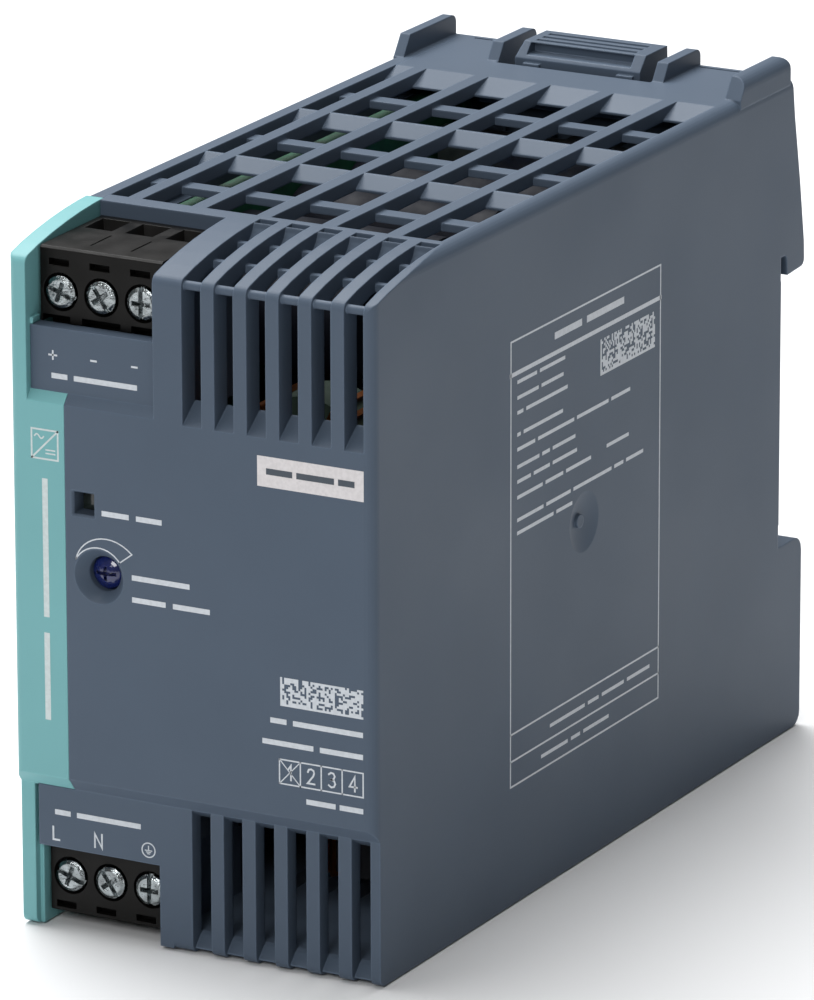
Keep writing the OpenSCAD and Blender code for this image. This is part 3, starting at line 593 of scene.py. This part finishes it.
class SUPPLY_OT_front_prints(bpy.types.Operator):
    """Print the plain marks on the front, the trim and both marking plates"""
    bl_idname = "supply.front_prints"
    bl_label = "Prints on the front"

    def execute(self, context):
        settings = context.scene.supply_prints
        ink = ink_finish("pale_ink", settings.ink)
        plate = ink_finish("plate_ink", settings.plate)
        dark = ink_finish("dark_ink", srgb("#3D4650"))

        name_plate = Ink()
        name_plate.bar(30.8, 55.2, 43.8, 58.6)
        name_plate.lay("name_plate", on_front(0), plate)
        blank = Ink()
        blank.words(31.9, 56.6, (3.2, 4.6, 2.0), 0.7, 0.5)
        blank.lay("name_plate_bars", lambda u, v, out: place(u, -settings.thickness / MM - out / MM, v), dark)

        marks = Ink()
        self.window_and_trimmer(marks)
        self.rating(marks, settings.seed)
        marks.lay("front_marks", on_front(0), ink)

        upper = Ink()
        upper.line([(4.55, 66.0), (5.45, 66.0)], 0.2)
        upper.line([(5.0, 65.55), (5.0, 66.45)], 0.2)
        for x in (10.1, 15.2):
            upper.line([(x - 0.3, 66.0), (x + 0.3, 66.0)], LETTER)
        upper.words(4.8, 63.4, (2.0, 7.9), BAR_HIGH, 0.8)
        upper.lay("upper_terminal_marks", on_front(UPPER_PLATE), ink)

        lower = Ink()
        lower.words(4.25, 13.3, (2.0, 8.1), BAR_HIGH, 0.8)
        lower.line([(4.0, 11.8), (4.0, 10.35), (4.75, 10.35)], LETTER)
        lower.line([(9.3, 10.3), (9.3, 11.85), (10.2, 10.3), (10.2, 11.85)], LETTER)
        self.earth(lower, 16.1, 11.05, 0.82)
        lower.lay("lower_terminal_marks", on_front(LOWER_PLATE), ink)

        trim = Ink()
        self.converter(trim, 2.7, 54.4, 3.3)
        for start, end in ((24.6, 34.6), (36.4, 52.2)):
            trim.bar(3.95, start, 4.65, end)
        trim.lay("trim_marks", on_front(0), ink_finish("trim_ink", settings.trim_ink))
        return {"FINISHED"}

    def window_and_trimmer(self, ink):
        """Bars beside the status window and the trimmer, and the arc that widens around the trimmer."""
        for x, z, widths in ((11.4, 48.95, (3.4, 3.2)), (15.1, 42.2, (7.2,)), (15.1, 39.7, (4.2, 4.6))):
            ink.words(x, z, widths, BAR_HIGH, 0.9)
        hub_x, hub_z = TRIMMER
        widening = 0.042
        inner = arc_points(hub_x, hub_z, 3.3, 150, 37, 14)
        outer = [(hub_x + (x - hub_x) * (1 + widening * i), hub_z + (z - hub_z) * (1 + widening * i))
                 for i, (x, z) in enumerate(inner)]
        ink.line(outer + [inner[-1]], HAIRLINE)
        ink.line(inner, HAIRLINE)

    def rating(self, ink, seed):
        """Code field, bars for the rating, and the row of numbered boxes with the first one crossed out."""
        code_field(ink, 33.45, 30.8, 43.65, 34.05, 0.25, seed)
        ink.words(32.2, 28.7, (2.0, 8.6), BAR_HIGH, 0.8)
        ink.words(31.2, 26.2, (6.3, 5.3), BAR_HIGH, 0.8)
        ink.words(36.6, 20.05, (3.6, 2.9), BAR_HIGH, 0.5)
        x0, z0, cell, high = 33.3, 21.95, 2.575, 2.75
        ink.rectangle(x0, z0, x0 + 4 * cell, z0 + high, THIN)
        for i in range(1, 4):
            ink.line([(x0 + i * cell, z0), (x0 + i * cell, z0 + high)], THIN)
        ink.line([(x0, z0), (x0 + cell, z0 + high)], 0.12)
        ink.line([(x0, z0 + high), (x0 + cell, z0)], 0.12)
        for digit, strokes in DIGITS.items():
            for stroke in strokes:
                left = x0 + (digit - 0.65) * cell
                ink.line([(left + u * 1.45, z0 + 0.55 + v * 1.65) for u, v in stroke], 0.2)

    def earth(self, ink, x, z, radius):
        """Protective earth: three bars under a stem, in a circle."""
        ink.line(arc_points(x, z, radius, 0, 360, 28), HAIRLINE)
        ink.line([(x, z + radius * 0.55), (x, z - radius * 0.05)], 0.13)
        for drop, half in ((0.05, 0.5), (0.28, 0.33), (0.5, 0.16)):
            ink.line([(x - radius * half, z - radius * drop), (x + radius * half, z - radius * drop)], 0.11)

    def converter(self, ink, x, z, side):
        """General symbol of a converter from alternating to direct current."""
        ink.rectangle(x, z, x + side, z + side, 0.2)
        ink.line([(x, z), (x + side, z + side)], 0.2)
        wave = [(x + side * (0.12 + 0.034 * i), z + side * (0.76 + 0.07 * math.sin(math.radians(36 * i))))
                for i in range(11)]
        ink.line(wave, THIN)
        for rise in (0.2, 0.32):
            ink.line([(x + side * 0.55, z + side * rise), (x + side * 0.88, z + side * rise)], THIN)


class SUPPLY_OT_side_prints(bpy.types.Operator):
    """Print the plain rating field on the right side"""
    bl_idname = "supply.side_prints"
    bl_label = "Print on the right side"

    def execute(self, context):
        settings = context.scene.supply_prints
        ink = ink_finish("side_ink", settings.ink)
        marks = Ink()
        front, foot, back, top = 31.2, 13.85, 67.2, 65.1
        marks.rectangle(front, foot, back, top, FRAME)
        marks.line([(front, 61.3), (back, 61.3)], 0.5)
        for z in (16.8, 19.95):
            marks.line([(front, z), (back, z)], FRAME)
        marks.words(41.5, 62.85, (6.5, 9.0), 0.8, 1.2)
        code_field(marks, 52.5, 55.85, 65.85, 60.05, 0.3, settings.seed + 1)
        rows = ((59.6, (4.6, 6.0)), (57.8, (5.0, 5.2)), (56.1, (1.4, 9.8)), (53.6, (0.8, 9.3)),
                (51.9, (4.2, 8.6, 7.6, 4.6)), (49.9, (5.2, 1.8, 5.4)), (48.2, (3.2, 3.8, 5.8)),
                (46.4, (6.0, 4.2, 6.0)), (43.8, (6.2, 5.8, 9.2, 2.2, 4.2)), (42.3, (8.6, 3.8)))
        for z, widths in rows:
            marks.words(32.7, z + 0.4, widths, SMALL_BAR_HIGH, 0.7)
        marks.words(54.1, 47.1, (5.4,), SMALL_BAR_HIGH, 0.7)
        marks.words(40.6, 18.1, (8.4, 2.6, 5.4, 5.6), SMALL_BAR_HIGH, 0.8)
        marks.words(38.5, 15.1, (6.4, 2.2, 6.2), SMALL_BAR_HIGH, 0.8)
        marks.lay("side_marks", on_right, ink)
        return {"FINISHED"}


class SUPPLY_OT_electronics(bpy.types.Operator):
    """Finish the board and the parts that stand on it"""
    bl_idname = "supply.electronics"
    bl_label = "Electronics"

    def execute(self, context):
        settings = context.scene.supply_electronics
        board = Finish("board_green", settings.board, 0.5)
        board.tint(board.noise(0.003, 4, 0.7), 0.25).relief(board.noise(0.0015, 1), 0.00002)
        board.on("circuit_board")
        copper = Finish("copper_wire", settings.copper, 0.28, Metallic=1.0, Coat_Weight=0.3)
        copper.tint(copper.noise(0.001), 0.12)
        copper.on("output_choke_windings", "line_choke_windings")
        plain = (
            ("sheet_insulation", "#6E6A5C", 0.5, 0, ("insulating_sheet",)),
            ("powder_core", "#34423A", 0.6, 0, ("output_choke_core",)),
            ("can_sleeve_small", "#10141F", 0.6, 0, ("output_capacitors",)),
            ("can_sleeve_large", "#15161A", 0.5, 0, ("bulk_capacitor",)),
            ("ferrite", "#2C2D31", 0.55, 0.2, ("transformer_core", "line_choke_core")),
            ("bobbin_black", "#19191B", 0.5, 0, ("transformer_bobbin",)),
            ("winding_tape", "#C79A28", 0.3, 0, ("transformer_winding",)),
            ("film_capacitor", "#D0A92F", 0.35, 0, ("interference_capacitor",)),
            ("disc_ceramic", "#2F5FA8", 0.3, 0, ("safety_capacitors",)),
            ("fuse_body", "#B9A878", 0.35, 0, ("fuse",)),
            ("varistor_disc", "#2B5F86", 0.35, 0, ("varistor",)),
            ("thermistor_disc", "#3C3F38", 0.4, 0, ("inrush_thermistor",)),
            ("package_black", "#18191B", 0.5, 0,
             ("bridge_rectifier", "switching_transistor", "output_rectifier", "optocoupler", "control_chip")),
            ("heatsink_aluminium", "#B5B7BA", 0.35, 1, ("primary_heatsink", "secondary_heatsink")),
        )
        for name, code, roughness, metallic, parts in plain:
            finish = Finish(name, srgb(code), roughness, Metallic=metallic, Specular_IOR_Level=0.15)
            finish.tint(finish.noise(0.003, 3), 0.08).sheen_patches(finish.noise(0.002), 0.05)
            finish.relief(finish.noise(0.0003, 3), 0.000012)
            finish.on(*parts)
            smooth(*parts)
        return {"FINISHED"}


def ink_finish(name, base):
    """Matt ink with a faint screen-printed grain."""
    finish = Finish(name, base, 0.55)
    finish.tint(finish.noise(0.0004, 2), 0.05).sheen_patches(finish.noise(0.001), 0.05)
    return finish.relief(finish.noise(0.00012), 0.000003).material


OPERATORS = (SUPPLY_OT_stage, SUPPLY_OT_casing, SUPPLY_OT_terminals, SUPPLY_OT_catch_spring,
             SUPPLY_OT_controls, SUPPLY_OT_front_prints, SUPPLY_OT_side_prints, SUPPLY_OT_electronics)


class SUPPLY_PT_panel(bpy.types.Panel):
    """Power supply's settings and finishing steps"""
    bl_idname = "SUPPLY_PT_panel"
    bl_label = "Power Supply"
    bl_space_type = "VIEW_3D"
    bl_region_type = "UI"
    bl_category = "Power Supply"

    def draw(self, context):
        for group in GROUPS:
            settings = getattr(context.scene, scene_name(group))
            box = self.layout.box()
            box.label(text=group.__doc__)
            for key in group.__annotations__:
                box.prop(settings, key)
        for operator in OPERATORS:
            self.layout.operator(operator.bl_idname)


def scene_name(group):
    """The name under which a group of settings hangs on the scene."""
    return "supply_" + group.__name__.split("_PG_")[1]


def register():
    for cls in (*GROUPS, *OPERATORS, SUPPLY_PT_panel):
        bpy.utils.register_class(cls)
    for group in GROUPS:
        setattr(bpy.types.Scene, scene_name(group), PointerProperty(type=group))


def unregister():
    for group in GROUPS:
        delattr(bpy.types.Scene, scene_name(group))
    for cls in reversed((*GROUPS, *OPERATORS, SUPPLY_PT_panel)):
        bpy.utils.unregister_class(cls)


def main():
    register()
    bpy.ops.supply.stage()
    bpy.ops.supply.casing()
    bpy.ops.supply.terminals()
    bpy.ops.supply.catch_spring()
    bpy.ops.supply.controls()
    bpy.ops.supply.front_prints()
    bpy.ops.supply.side_prints()
    bpy.ops.supply.electronics()


if __name__ == "__main__":
    main()
